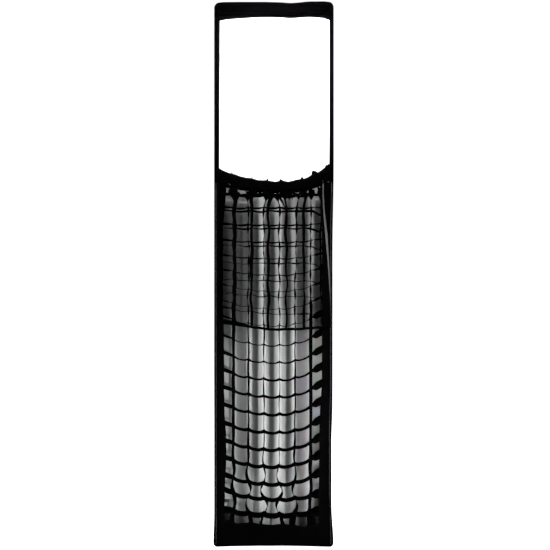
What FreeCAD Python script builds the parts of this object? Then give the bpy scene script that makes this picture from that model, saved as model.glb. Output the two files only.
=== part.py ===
"""Strip softbox, 350 x 1600 mm, with a turning bayonet ring and a fabric grid whose upper third is peeled.

Frame: origin at the centre of the ring's rear mounting plane, +Z up, the light side is +Y and the
lit front faces -Y. Millimetres.
"""

import FreeCAD
import Part

import math
import os

from FreeCAD import Vector

# Body of the softbox
WIDTH = 350.0
HEIGHT = 1600.0
DEPTH = 420.0
RECESS = 88.0  # from the rim's front edge back to the front diffuser
LIP_THICK = 3.0
WALL_THICK = 2.0
END_LEAN = 0.9  # the end walls slant more, so they move in by less along Y
NECK_HALF = 92.0  # half the side of the square opening around the ring
NECK_Y = -4.0
NECK_RUN = 12.0  # straight run behind the neck that shapes are cut with
BOW_ACROSS = 0.62  # where the bow's control point lies, as a share of the way out
BOW_DEEP = 0.36  # and as a share of the way forward

FRONT_Y = -DEPTH
DIFFUSER_Y = FRONT_Y + RECESS
HALF_W = WIDTH / 2
HALF_H = HEIGHT / 2
LIP_IN_X = HALF_W - LIP_THICK
LIP_IN_Z = HALF_H - LIP_THICK

# Bayonet plate, its barrel and lugs
BORE_R = 49.0
BARREL_R = 52.0
BARREL_LONG = 11.0  # how far the barrel stands behind the mounting plane
LUG_R = 58.5
LUG_THICK = 3.0
LUG_ANGLE = 32.0
LUG_COUNT = 3
PLATE_R = 72.0
PLATE_THICK = 10.0
POCKET_ANGLE = 80.0
TURN_GAP = 0.06  # running clearance between plate and hub

# Hub ring and the tabs that keep the plate in it
HUB_R = 82.0
HUB_LONG = 24.0
LEDGE_R = 66.0
TAB_ANGLES = (45, 135, 225, 315)
TAB_IN_R = 68.0
TAB_OUT_R = 80.0
TAB_ANGLE = 16.0
TAB_THICK = 2.0
TAB_SCREW_R = 1.5
TAB_SCREW_AT = 77.0
TAB_SCREW_LONG = 5.0
TAB_HEAD_R = 2.8
TAB_HEAD_THICK = 1.6
TAB_SLOT = 0.8

# Lock screw and knob, on the +X side
LOCK_Y = -5.0
LOCK_R = 3.94
LOCK_HOLE_R = 4.0
LOCK_EYE_R = 7.0  # opening in the fabric
PAD_X = 72.5
PAD_LONG = 2.5
KNOB_X = 101.0
KNOB_LONG = 18.0
KNOB_GRIP = 10.0  # how far the screw sits in the knob
KNOB_R = 11.0
KNOB_LOBES = 8
KNOB_LOBE_R = 2.6
KNOB_COLLAR = 4.0

# Rods, sockets and tips
ROD_R = 2.5
ROD_START = Vector(60, -20, 60)
ROD_END = Vector(161, DIFFUSER_Y + 11, 768)
SOCKET_R = 6.5
SOCKET_LONG = 34.0
SOCKET_GRIP = 24.0  # how much of the rod sits in the socket
SET_SCREW_R = 2.0
SET_SCREW_LONG = 3.5
CAP_R = 4.0
CAP_LONG = 14.0
CAP_CROWN = 3.0
CORNER_SIZE = (20.0, 19.0, 50.0)
CORNER_DROP = 8.0
CORNER_HOLE_GAP = 0.05
DIFFUSER_CLEAR = 1.5

# Hook-and-loop tape
TAPE_THICK = 1.0
DIFFUSER_TAPE_WIDE = 20.0
GRID_TAPE_WIDE = 25.0
GRID_TAPE_FRONT = 2.0  # from the rim's edge to the tape
HOOK_HEM = 7.0

# Diffusers
SHEET_THICK = 1.2
SHEET_GAP = 1.5  # between the lip and the edge of the diffuser
BAFFLE_Y = -205.0
BAFFLE_HALF_X = 112.0
BAFFLE_HALF_Z = 540.0
BAFFLE_HEM = 12.0
STRAP_AT = (-520.0, -180.0, 180.0, 520.0)
STRAP_WIDE = 12.0
STRAP_THICK = 1.0
STRAP_CLEAR = 0.6
SNAP_R = 5.0
SNAP_THICK = 1.6

# Grid
GRID_DEEP = 30.0
CLOTH_THICK = 1.6
UPRIGHT_PITCH = 45.8
UPRIGHT_COUNT = 6
ROW_PITCH = 50.5
FOLD_Z = 315.0
FOLD_GAP = 6.0  # between the two layers where the grid is folded over
FOLD_END = 2.0  # from the fold to the end of each layer's strips
FLAP_LONG = 475.0
BAND_X = LIP_IN_X - 2.4  # outside of the border, with tape on it and a gap to the rim's own tape
BAND_Z = LIP_IN_Z - 2.4
BAND_THICK = 2.0
LOWER_FLANGE = 30.0
FLAP_FLANGE = 8.0
BOTTOM_FLANGE = 60.0
LOWER_FIRST_ROW = 296.5
LOWER_ROWS = 21
FLAP_ROWS = 9
FLAP_FIRST_ROW = 32.0  # from the fold

# Neck closure flaps
NECK_FLAP_HALF_Z = 70.0
NECK_FLAP_FRONT_Y = -96.0
NECK_FLAP_REAR_Y = -30.0
NECK_FLAP_THICK = 1.5
NECK_FLAP_LIFT = 2.4  # clearance over the bowed wall, which the hook tape partly fills
NECK_TAPE_SHARES = (0.62, 0.95)
NECK_TAPE_EDGE = 6.0

CUT = 1.0  # how far a cutting shape runs past the face it cuts


def box(low, high):
    """A block between two corners."""
    size = [b - a for a, b in zip(low, high)]
    return Part.makeBox(*size, Vector(*low))


def disc(radius, y_low, y_high, x=0.0, z=0.0):
    """A cylinder along Y."""
    return Part.makeCylinder(radius, y_high - y_low, Vector(x, y_low, z), Vector(0, 1, 0))


def lock_cylinder(radius, x_low, x_high):
    """A cylinder along X on the lock screw's axis."""
    return Part.makeCylinder(radius, x_high - x_low, Vector(x_low, LOCK_Y, 0), Vector(1, 0, 0))


def turned(shape, degrees):
    """A copy turned about the ring's axis."""
    copy = shape.copy()
    copy.rotate(Vector(0, 0, 0), Vector(0, 1, 0), degrees)
    return copy


def mirrored(shape):
    """The same piece on the other side, left for right."""
    return shape.mirror(Vector(0, 0, 0), Vector(1, 0, 0))


def lowered(shape):
    """The same piece mirrored from top to bottom."""
    return shape.mirror(Vector(0, 0, 0), Vector(0, 0, 1))


def four_corners(shape):
    """The same piece at the four corners, from the one at +X +Z."""
    pair = [shape, mirrored(shape)]
    return pair + [lowered(s) for s in pair]


def sector(inner, outer, y_low, y_high, degrees):
    """Part of an annulus about the Y axis, centred on +X."""
    wedge = Part.makeCylinder(outer, y_high - y_low, Vector(0, y_low, 0), Vector(0, 1, 0), degrees)
    ring = wedge.cut(disc(inner, y_low - CUT, y_high + CUT))
    centre = ring.Solids[0].CenterOfMass
    return turned(ring, math.degrees(math.atan2(centre.z, centre.x)))


def save(name, shapes):
    """Write one sub-part, made of one or more closed solids."""
    solids = []
    for shape in shapes:
        solids += shape.Solids
    for solid in solids:
        if not solid.isValid():
            raise ValueError(name + " isn't valid")
    Part.makeCompound(solids).exportStep("parts/" + name + ".step")
    print(name, len(solids), round(sum(s.Volume for s in solids) / 1000, 1), "cm3")


# ---- bayonet plate and hub ----


def bayonet_barrel():
    """The tube that enters the light, with three lugs on its end."""
    tube = disc(BARREL_R, -PLATE_THICK, BARREL_LONG)
    lug = sector(BARREL_R - CUT, LUG_R, BARREL_LONG - LUG_THICK, BARREL_LONG, LUG_ANGLE)
    for i in range(LUG_COUNT):
        tube = tube.fuse(turned(lug, 90 + i * 360 / LUG_COUNT))
    return tube.cut(disc(BORE_R, -PLATE_THICK - CUT, BARREL_LONG + CUT)).removeSplitter()


def bayonet_plate():
    """The flat plate that turns in the hub ring, with a pocket in front for each lug."""
    plate = disc(PLATE_R, -PLATE_THICK, 0).cut(disc(BARREL_R, -PLATE_THICK - CUT, CUT))
    pocket = sector(BARREL_R + 4, LEDGE_R - 2, -PLATE_THICK - CUT, -PLATE_THICK / 2, POCKET_ANGLE)
    for i in range(LUG_COUNT):
        plate = plate.cut(turned(pocket, 30 + i * 360 / LUG_COUNT))
    return plate


def tab_screw(degrees):
    """A slotted pan-head screw through a retaining tab."""
    shank = disc(TAB_SCREW_R, -TAB_SCREW_LONG, TAB_THICK, TAB_SCREW_AT)
    top = TAB_THICK + TAB_HEAD_THICK
    head = disc(TAB_HEAD_R, TAB_THICK, top, TAB_SCREW_AT)
    slot = box(
        (TAB_SCREW_AT - 2 * TAB_HEAD_R, top - TAB_SLOT, -TAB_SLOT / 2),
        (TAB_SCREW_AT + 2 * TAB_HEAD_R, top + CUT, TAB_SLOT / 2),
    )
    return turned(shank.fuse(head).cut(slot), degrees)


def retaining_tabs(screws):
    """Four small plates that keep the bayonet plate in the hub."""
    tab = sector(TAB_IN_R, TAB_OUT_R, TURN_GAP, TAB_THICK, TAB_ANGLE)
    return [turned(tab, angle).cut(screw) for angle, screw in zip(TAB_ANGLES, screws)]


def hub_ring(screws):
    """Cast ring: a bore for the plate, a ledge in front of it and a hole for the lock screw."""
    ring = disc(HUB_R, -HUB_LONG, 0)
    ring = ring.cut(disc(PLATE_R + TURN_GAP, -PLATE_THICK - TURN_GAP, CUT))
    ring = ring.cut(disc(LEDGE_R, -HUB_LONG - CUT, CUT))
    ring = ring.cut(lock_cylinder(LOCK_HOLE_R, PLATE_R - 4, HUB_R + 4))
    ring = ring.cut(Part.makeCompound(four_corners(socket_tube())))
    return ring.cut(Part.makeCompound(screws))


# ---- rods ----


def rod_arc():
    """The rod's centre line, bowed outwards between its socket and its tip."""
    reach = ROD_END - ROD_START
    bend = ROD_START + Vector(reach.x * BOW_ACROSS, reach.y * BOW_DEEP, reach.z * BOW_ACROSS)
    middle = (ROD_START + bend * 2 + ROD_END) * 0.25
    return Part.Arc(ROD_START, middle, ROD_END)


def rod_heading(at_tip):
    """Unit direction of the rod at its start or its tip."""
    arc = rod_arc()
    heading = arc.tangent(arc.LastParameter if at_tip else arc.FirstParameter)[0]
    return heading.normalize()


def rod():
    """One spring-steel rod."""
    section = Part.Wire([Part.makeCircle(ROD_R, ROD_START, rod_heading(False))])
    return Part.Wire([rod_arc().toShape()]).makePipeShell([section], True, False)


def socket_tube():
    """Outer shape of the socket that the rod is pushed into."""
    base = ROD_START - rod_heading(False) * (SOCKET_LONG - SOCKET_GRIP)
    return Part.makeCylinder(SOCKET_R, SOCKET_LONG, base, rod_heading(False))


def set_screw():
    """The small screw that grips the rod, in the socket's rear side."""
    along = rod_heading(False)
    across = Vector(0, 1, 0) - along * along.y
    foot = ROD_START + along * (SOCKET_GRIP / 2) + across.normalize() * (ROD_R + 0.2)
    return Part.makeCylinder(SET_SCREW_R, SET_SCREW_LONG, foot, across)


def rod_cap():
    """A plastic cap on the rod's tip."""
    foot = ROD_END - rod_heading(True) * (CAP_LONG - CAP_CROWN)
    return Part.makeCylinder(CAP_R, CAP_LONG, foot, rod_heading(True))


def corner_pocket():
    """A moulded corner piece with a blind hole for the capped tip."""
    low_y = DIFFUSER_Y + DIFFUSER_CLEAR
    centre_z = ROD_END.z - CORNER_DROP
    low = (ROD_END.x - CORNER_SIZE[0] / 2, low_y, centre_z - CORNER_SIZE[2] / 2)
    high = (ROD_END.x + CORNER_SIZE[0] / 2, low_y + CORNER_SIZE[1], centre_z + CORNER_SIZE[2] / 2)
    block = box(low, high).common(inside_walls(WALL_THICK + 0.3))
    blind_end = ROD_END + rod_heading(True) * CAP_CROWN
    hole = Part.makeCylinder(
        CAP_R + CORNER_HOLE_GAP, 2 * CORNER_SIZE[2], blind_end, rod_heading(True) * -1
    )
    return block.cut(hole)


# ---- walls ----


def bow_curve(half_front, inset):
    """Profile of a wall from the neck to the diffuser plane, as (outward, y), moved in by inset."""
    reach = half_front - NECK_HALF
    forward = DIFFUSER_Y - NECK_Y
    poles = [
        Vector(NECK_HALF - inset, NECK_Y, 0),
        Vector(NECK_HALF + reach * BOW_ACROSS - inset, NECK_Y + forward * BOW_DEEP, 0),
        Vector(half_front - inset, DIFFUSER_Y, 0),
    ]
    curve = Part.BezierCurve()
    curve.setPoles(poles)
    return curve


def bowed_prism(half_front, inset, inset_y):
    """The space between two mirrored bowed walls, long in Z."""
    curve = bow_curve(half_front, inset)
    curve.translate(Vector(0, -inset_y, 0))
    right = curve.toShape()
    rear, front = curve.getPole(1), curve.getPole(3)
    corners = [
        Vector(-rear.x, rear.y, 0),
        Vector(-rear.x, rear.y + NECK_RUN, 0),
        Vector(rear.x, rear.y + NECK_RUN, 0),
        rear,
    ]
    edges = [right, mirrored(right), Part.makeLine(front, Vector(-front.x, front.y, 0))]
    edges += [Part.makeLine(p, q) for p, q in zip(corners, corners[1:])]
    prism = Part.Face(Part.Wire(Part.__sortEdges__(edges))).extrude(Vector(0, 0, 2 * HEIGHT))
    prism.translate(Vector(0, 0, -HEIGHT))
    return prism


def between_sides(inset):
    """The space between the two long walls."""
    return bowed_prism(HALF_W, inset, 0)


def between_ends(inset):
    """The space between the top and bottom walls."""
    prism = bowed_prism(HALF_H, inset, inset * END_LEAN)
    prism.rotate(Vector(0, 0, 0), Vector(0, 1, 0), 90)
    return prism


def inside_walls(inset):
    """The bowed space inside all four walls."""
    return between_sides(inset).common(between_ends(inset))


def wall_half_width(y):
    """Half the distance between the outsides of the two long walls at a depth."""
    curve = bow_curve(HALF_W, 0)
    low, high = curve.FirstParameter, curve.LastParameter
    for _ in range(40):
        middle = (low + high) / 2
        if curve.value(middle).y > y:
            low = middle
        else:
            high = middle
    return curve.value(low).x


def wall_panels():
    """Four fabric walls that meet along the rods' seams: top, bottom, left and right."""
    clip = box((-WIDTH, DIFFUSER_Y, -HEIGHT), (WIDTH, NECK_Y, HEIGHT))
    inner_ends = between_ends(WALL_THICK)
    ends = between_ends(0).cut(inner_ends).common(between_sides(0)).common(clip)
    sides = between_sides(0).cut(between_sides(WALL_THICK)).common(inner_ends).common(clip)
    sides = sides.cut(lock_opening())
    top = max(ends.Solids, key=lambda s: s.CenterOfMass.z)
    bottom = min(ends.Solids, key=lambda s: s.CenterOfMass.z)
    right = max(sides.Solids, key=lambda s: s.CenterOfMass.x)
    left = min(sides.Solids, key=lambda s: s.CenterOfMass.x)
    return {"top": top, "bottom": bottom, "left": left, "right": right}


def front_lips():
    """The straight rim in front of the diffuser."""
    top = box((-HALF_W, FRONT_Y, LIP_IN_Z), (HALF_W, DIFFUSER_Y, HALF_H))
    right = box((LIP_IN_X, FRONT_Y, -LIP_IN_Z), (HALF_W, DIFFUSER_Y, LIP_IN_Z))
    return {"top": top, "bottom": lowered(top), "left": mirrored(right), "right": right}


def rim_loop_tape(y_low, y_high):
    """Loop tape along the inside of the rim, on all four sides."""
    inner_x, inner_z = LIP_IN_X - TAPE_THICK, LIP_IN_Z - TAPE_THICK
    top = box((-LIP_IN_X, y_low, inner_z), (LIP_IN_X, y_high, LIP_IN_Z))
    right = box((inner_x, y_low, -inner_z), (LIP_IN_X, y_high, inner_z))
    return [top, lowered(top), right, mirrored(right)]


def lock_opening():
    """The hole in the fabric that the lock screw passes through."""
    return lock_cylinder(LOCK_EYE_R, HUB_R - 4, NECK_HALF + 4)


def neck_collar():
    """Fabric that closes the square neck round the hub ring."""
    low, high = NECK_Y, NECK_Y + WALL_THICK
    plate = box((-NECK_HALF, low, -NECK_HALF), (NECK_HALF, high, NECK_HALF))
    return plate.cut(disc(HUB_R, low - CUT, high + CUT)).cut(lock_opening())


# ---- diffusers ----


def flat_frame(half_x, half_z, wide, y_low, y_high):
    """A flat border along the edges of a rectangle that faces -Y."""
    outer = box((-half_x, y_low, -half_z), (half_x, y_high, half_z))
    inner = box((wide - half_x, y_low - CUT, wide - half_z), (half_x - wide, y_high + CUT, half_z - wide))
    return outer.cut(inner)


def front_diffuser():
    """The white front sheet."""
    x, z = LIP_IN_X - SHEET_GAP, LIP_IN_Z - SHEET_GAP
    return box((-x, DIFFUSER_Y - SHEET_THICK, -z), (x, DIFFUSER_Y, z))


def diffuser_hook_tape():
    """Hook tape sewn flat along the diffuser's edge."""
    front = DIFFUSER_Y - SHEET_THICK
    x, z = LIP_IN_X - SHEET_GAP, LIP_IN_Z - SHEET_GAP
    return flat_frame(x, z, HOOK_HEM, front - TAPE_THICK, front)


def inner_baffle():
    """The smaller diffuser halfway back, which spreads the lamp's hot spot."""
    x, z = BAFFLE_HALF_X - BAFFLE_HEM, BAFFLE_HALF_Z - BAFFLE_HEM
    return box((-x, BAFFLE_Y - SHEET_THICK, -z), (x, BAFFLE_Y, z))


def baffle_hem():
    """The folded tape border of the inner baffle."""
    return flat_frame(BAFFLE_HALF_X, BAFFLE_HALF_Z, BAFFLE_HEM, BAFFLE_Y - SHEET_THICK, BAFFLE_Y)


def baffle_straps():
    """Elastic straps from the baffle's long edges to the walls, and their snap buttons."""
    reach = wall_half_width(BAFFLE_Y) - WALL_THICK - STRAP_CLEAR
    straps, snaps = [], []
    for z in STRAP_AT:
        low = (BAFFLE_HALF_X, BAFFLE_Y - STRAP_THICK, z - STRAP_WIDE / 2)
        strap = box(low, (reach, BAFFLE_Y, z + STRAP_WIDE / 2))
        snap = disc(SNAP_R, BAFFLE_Y, BAFFLE_Y + SNAP_THICK, reach - SNAP_R - 2, z)
        straps += [strap, mirrored(strap)]
        snaps += [snap, mirrored(snap)]
    return straps, snaps


# ---- grid ----


def upright_places():
    """Where the grid's upright strips stand."""
    middle = (UPRIGHT_COUNT - 1) / 2
    return [(i - middle) * UPRIGHT_PITCH for i in range(UPRIGHT_COUNT)]


def egg_crate(z_low, z_high, row_places, half_width):
    """Upright and cross strips that are slotted into each other to half their depth."""
    rear = FRONT_Y + GRID_DEEP
    middle = FRONT_Y + GRID_DEEP / 2
    half = CLOTH_THICK / 2
    uprights, rows = [], []
    for x in upright_places():
        strip = box((x - half, FRONT_Y, z_low), (x + half, rear, z_high))
        slots = [box((x - CUT, middle, z - half), (x + CUT, rear + CUT, z + half)) for z in row_places]
        uprights.append(strip.cut(Part.makeCompound(slots)))
    for z in row_places:
        strip = box((-half_width, FRONT_Y, z - half), (half_width, rear, z + half))
        slots = []
        for x in upright_places():
            slots.append(box((x - half, FRONT_Y - CUT, z - CUT), (x + half, middle, z + CUT)))
        rows.append(strip.cut(Part.makeCompound(slots)))
    return uprights, rows


def side_bands(z_low, z_high, flange):
    """The grid's left and right borders: a wall against the rim, and a flange sewn on in front of it."""
    behind_face = FRONT_Y + BAND_THICK
    wall = box((BAND_X - BAND_THICK, behind_face, z_low), (BAND_X, FRONT_Y + GRID_DEEP, z_high))
    face = box((BAND_X - flange, FRONT_Y, z_low), (BAND_X, behind_face, z_high))
    return [wall, face, mirrored(wall), mirrored(face)]


def grid_hook_tape(z_low, z_high, end_low, end_high):
    """Hook tape on the outside of both side borders and of one end border."""
    front = FRONT_Y + GRID_TAPE_FRONT
    rear = front + GRID_TAPE_WIDE
    right = box((BAND_X, front, z_low), (BAND_X + TAPE_THICK, rear, z_high))
    end = box((BAND_THICK - BAND_X, front, end_low), (BAND_X - BAND_THICK, rear, end_high))
    return [right, mirrored(right), end]


def without(shapes, others):
    """Each shape with the others cut out of it."""
    tool = Part.makeCompound(others)
    return [shape.cut(tool) for shape in shapes]


def lower_grid():
    """The part of the grid that is still fastened in the rim."""
    z_low, z_high = -BAND_Z, FOLD_Z - FOLD_END
    inner = BAND_X - BAND_THICK
    foot = z_low + BAND_THICK
    places = [LOWER_FIRST_ROW - i * ROW_PITCH for i in range(LOWER_ROWS)]
    uprights, rows = egg_crate(foot, z_high, places, inner)
    bands = side_bands(z_low, z_high, LOWER_FLANGE)
    wall = box((-inner, FRONT_Y, z_low), (inner, FRONT_Y + GRID_DEEP, foot))
    face = box((-inner, FRONT_Y, z_low), (inner, FRONT_Y + BAND_THICK, z_low + BOTTOM_FLANGE))
    bottom = without([wall.fuse(face).removeSplitter()], bands)
    tape = grid_hook_tape(z_low, z_high, z_low - TAPE_THICK, z_low)
    return {
        "grid_uprights": without(uprights, bands + bottom),
        "grid_rows": without(rows, bands + bottom),
        "grid_side_bands": bands,
        "grid_bottom_band": bottom,
        "grid_hook_tape": tape,
    }


def folded_down(shapes):
    """Pieces of the closed grid, swung half a turn about the fold to where they hang."""
    folded = []
    for shape in shapes:
        copy = shape.copy()
        copy.rotate(Vector(0, FRONT_Y - FOLD_GAP / 2, FOLD_Z), Vector(1, 0, 0), 180)
        folded.append(copy)
    return folded


def grid_flap():
    """The peeled third of the grid, made where it closes and then folded down."""
    z_low, z_high = FOLD_Z + FOLD_END, FOLD_Z + FLAP_LONG
    inner = BAND_X - BAND_THICK
    head = z_high - BAND_THICK
    places = [FOLD_Z + FLAP_FIRST_ROW + i * ROW_PITCH for i in range(FLAP_ROWS)]
    uprights, rows = egg_crate(z_low, head, places, inner)
    bands = side_bands(z_low, z_high, FLAP_FLANGE)
    wall = box((-inner, FRONT_Y, head), (inner, FRONT_Y + GRID_DEEP, z_high))
    edge = without([wall], bands)
    closed = {
        "flap_uprights": without(uprights, bands + edge),
        "flap_rows": without(rows, bands + edge),
        "flap_side_bands": bands,
        "flap_edge_band": edge,
        "flap_hook_tape": grid_hook_tape(z_low, z_high, z_high, z_high + TAPE_THICK),
    }
    return {name: folded_down(shapes) for name, shapes in closed.items()}


# ---- neck closures and lock ----


def neck_strip(from_share, to_share, lift, thick, half_z):
    """A flat strip over the right wall, between two shares of the way from its hinge to its free edge."""
    hinge_x = wall_half_width(NECK_FLAP_FRONT_Y) + NECK_FLAP_LIFT
    run_x = wall_half_width(NECK_FLAP_REAR_Y) + NECK_FLAP_LIFT - hinge_x
    run_y = NECK_FLAP_REAR_Y - NECK_FLAP_FRONT_Y
    corners = []
    for share, out in ((from_share, lift), (to_share, lift), (to_share, lift + thick),
                       (from_share, lift + thick)):
        corners.append(Vector(hinge_x + run_x * share + out, NECK_FLAP_FRONT_Y + run_y * share, -half_z))
    return Part.Face(Part.makePolygon(corners + corners[:1])).extrude(Vector(0, 0, 2 * half_z))


def lock_knob(screw):
    """A lobed knob on the screw's outer end."""
    knob = lock_cylinder(KNOB_R, KNOB_X, KNOB_X + KNOB_LONG)
    for i in range(KNOB_LOBES):
        angle = 2 * math.pi * i / KNOB_LOBES
        y = LOCK_Y + KNOB_R * math.cos(angle)
        z = KNOB_R * math.sin(angle)
        foot = Vector(KNOB_X + KNOB_COLLAR, y, z)
        knob = knob.cut(Part.makeCylinder(KNOB_LOBE_R, KNOB_LONG, foot, Vector(1, 0, 0)))
    return knob.cut(screw)


# ---- build ----

os.makedirs("parts", exist_ok=True)

tab_screws = [tab_screw(angle) for angle in TAB_ANGLES]
save("bayonet_barrel", [bayonet_barrel()])
save("bayonet_plate", [bayonet_plate()])
save("hub_ring", [hub_ring(tab_screws)])
save("retaining_tabs", retaining_tabs(tab_screws))
save("tab_screws", tab_screws)

one_rod = rod()
one_screw = set_screw()
one_cap = rod_cap()
one_socket = socket_tube().cut(one_rod).cut(one_screw)
save("rod_sockets", four_corners(one_socket))
save("socket_set_screws", four_corners(one_screw))
for corner, shape in zip(("top_right", "top_left", "bottom_right", "bottom_left"), four_corners(one_rod)):
    save("rod_" + corner, [shape])
save("rod_tip_caps", four_corners(one_cap.cut(one_rod)))
save("corner_pockets", four_corners(corner_pocket()))

for side, shape in wall_panels().items():
    save("wall_" + side, [shape])
for side, shape in front_lips().items():
    save("rim_" + side, [shape])
save("neck_collar", [neck_collar()])

grid_tape_y = FRONT_Y + GRID_TAPE_FRONT
diffuser_tape_y = DIFFUSER_Y - SHEET_THICK - TAPE_THICK - DIFFUSER_CLEAR
save("grid_loop_tape", rim_loop_tape(grid_tape_y, grid_tape_y + GRID_TAPE_WIDE))
save("diffuser_loop_tape", rim_loop_tape(diffuser_tape_y - DIFFUSER_TAPE_WIDE, diffuser_tape_y))
save("front_diffuser", [front_diffuser()])
save("diffuser_hook_tape", [diffuser_hook_tape()])
save("inner_baffle", [inner_baffle()])
save("baffle_hem", [baffle_hem()])
baffle_strap_set, snap_set = baffle_straps()
save("baffle_straps", baffle_strap_set)
save("baffle_snaps", snap_set)

for pieces in (lower_grid(), grid_flap()):
    for name, shapes in pieces.items():
        save(name, shapes)

neck_flap = neck_strip(0, 1, 0, NECK_FLAP_THICK, NECK_FLAP_HALF_Z)
neck_tape = neck_strip(*NECK_TAPE_SHARES, -TAPE_THICK, TAPE_THICK, NECK_FLAP_HALF_Z - NECK_TAPE_EDGE)
save("neck_flap_right", [neck_flap])
save("neck_flap_left", [mirrored(neck_flap)])
save("neck_tape_right", [neck_tape])
save("neck_tape_left", [mirrored(neck_tape)])

lock_screw = lock_cylinder(LOCK_R, PAD_X + PAD_LONG, KNOB_X + KNOB_GRIP)
save("lock_pad", [lock_cylinder(LOCK_R, PAD_X, PAD_X + PAD_LONG)])
save("lock_screw", [lock_screw])
save("lock_knob", [lock_knob(lock_screw)])
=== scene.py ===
"""Strip softbox: fabric, diffusers, egg-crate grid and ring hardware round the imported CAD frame."""

import math

import bpy
import numpy as np
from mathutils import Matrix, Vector, noise


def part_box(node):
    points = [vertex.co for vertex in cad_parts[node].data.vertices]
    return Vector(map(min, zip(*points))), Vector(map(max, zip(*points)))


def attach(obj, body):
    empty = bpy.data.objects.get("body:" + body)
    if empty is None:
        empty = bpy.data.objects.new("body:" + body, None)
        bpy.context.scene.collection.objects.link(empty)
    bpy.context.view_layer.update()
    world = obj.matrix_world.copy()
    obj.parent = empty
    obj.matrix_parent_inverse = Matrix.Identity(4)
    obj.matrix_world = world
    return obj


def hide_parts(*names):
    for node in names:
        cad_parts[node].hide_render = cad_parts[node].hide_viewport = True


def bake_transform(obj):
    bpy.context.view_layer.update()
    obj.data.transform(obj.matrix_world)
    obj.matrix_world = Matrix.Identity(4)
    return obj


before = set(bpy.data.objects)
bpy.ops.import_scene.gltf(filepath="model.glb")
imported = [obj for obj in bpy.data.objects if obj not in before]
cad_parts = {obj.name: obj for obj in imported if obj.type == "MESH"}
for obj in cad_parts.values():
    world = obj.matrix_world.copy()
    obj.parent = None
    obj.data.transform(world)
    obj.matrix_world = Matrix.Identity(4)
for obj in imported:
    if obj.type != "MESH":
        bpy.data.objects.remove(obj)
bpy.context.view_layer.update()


# ---- sizes, all in metres, taken from the frame ----


def span(node):
    """Lowest and highest corner of a node as arrays."""
    low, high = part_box(node)
    return np.array(low, float), np.array(high, float)


RIM_LOW, RIM_HIGH = span("rim_top")
HALF_W = RIM_HIGH[0]
HALF_H = RIM_HIGH[2]
FRONT = RIM_LOW[1]
RIM_REAR = RIM_HIGH[1]

COLLAR_LOW, COLLAR_HIGH = span("neck_collar")
NECK_HALF = COLLAR_HIGH[0]
NECK_Y = COLLAR_LOW[1]
HUB_R = span("hub_ring")[1][0]

GRID_LOW, GRID_HIGH = span("grid_uprights")
GRID_DEEP = GRID_HIGH[1] - GRID_LOW[1]
BAND_IN = span("grid_rows")[1][0]
BAND_OUT = span("grid_side_bands")[1][0]
FLAP_LOW, FLAP_HIGH = span("flap_uprights")
FLAP_REAR = FLAP_HIGH[1]
FLAP_FOOT = span("flap_edge_band")[0][2]
FOLD_Y = (FLAP_REAR + FRONT) / 2

UPRIGHTS = 6
UPRIGHT_X = np.linspace(GRID_LOW[0] + 0.0008, GRID_HIGH[0] - 0.0008, UPRIGHTS)
PITCH = UPRIGHT_X[1] - UPRIGHT_X[0]
ROWS_LOW, ROWS_HIGH = span("grid_rows")
LOWER_ROWS = 21
LOWER_ROW_Z = np.linspace(ROWS_HIGH[2] - 0.0008, ROWS_LOW[2] + 0.0008, LOWER_ROWS)
FLAP_ROWS_LOW, FLAP_ROWS_HIGH = span("flap_rows")
FLAP_ROWS = 9
FLAP_ROW_Z = np.linspace(FLAP_ROWS_HIGH[2] - 0.0008, FLAP_ROWS_LOW[2] + 0.0008, FLAP_ROWS)
ROW_PITCH = LOWER_ROW_Z[0] - LOWER_ROW_Z[1]
STRIP_THICK = 0.0014


# ---- small tools ----


def smooth(a, b, x):
    """0 before a, 1 after b, smooth between them; a may be above b."""
    t = np.clip((np.asarray(x, float) - a) / (b - a), 0, 1)
    return t * t * (3 - 2 * t)


def wander(x, y, z, size, seed=0.0):
    """Smooth noise from about -1 to 1 over points, with features of the given size."""
    x, y, z = np.broadcast_arrays(x, y, z)
    flat = zip(x.ravel() / size, y.ravel() / size, z.ravel() / size)
    values = [noise.noise(Vector((a + seed, b - seed, c + 2 * seed))) for a, b, c in flat]
    return np.array(values).reshape(x.shape)


def make_object(name, vertices, faces, material, slot_of_face=None):
    """A smooth-shaded mesh object."""
    mesh = bpy.data.meshes.new(name)
    mesh.from_pydata([tuple(v) for v in vertices], [], faces)
    mesh.validate()
    materials = material if isinstance(material, (list, tuple)) else [material]
    for m in materials:
        mesh.materials.append(m)
    if slot_of_face is not None:
        mesh.polygons.foreach_set("material_index", slot_of_face)
    mesh.polygons.foreach_set("use_smooth", [True] * len(mesh.polygons))
    mesh.update()
    piece = bpy.data.objects.new(name, mesh)
    bpy.context.scene.collection.objects.link(piece)
    return piece


def grid_faces(rows, columns, round_rows=False, round_columns=False, first=0):
    """Quads of a grid of points, closed on itself where asked."""
    faces = []
    for i in range(rows if round_rows else rows - 1):
        for j in range(columns if round_columns else columns - 1):
            a, b = i * columns, (i + 1) % rows * columns
            k = (j + 1) % columns
            faces.append((first + a + j, first + a + k, first + b + k, first + b + j))
    return faces


def surface(name, points, material, round_rows=False, round_columns=False):
    """A surface through a grid of points of shape (rows, columns, 3)."""
    rows, columns = points.shape[:2]
    faces = grid_faces(rows, columns, round_rows, round_columns)
    return make_object(name, points.reshape(-1, 3), faces, material)


def surfaces(name, sheets, material):
    """Several open surfaces in one mesh."""
    vertices, faces = [], []
    for points in sheets:
        rows, columns = points.shape[:2]
        faces += grid_faces(rows, columns, first=len(vertices))
        vertices += list(points.reshape(-1, 3))
    return make_object(name, vertices, faces, material)


def thicken(piece, thick, offset=0.0, inner_slot=0, even=True):
    """Give a sheet its thickness."""
    mod = piece.modifiers.new("thickness", "SOLIDIFY")
    mod.thickness = thick
    mod.offset = offset
    mod.use_even_offset = even
    mod.material_offset = inner_slot
    return piece


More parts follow.
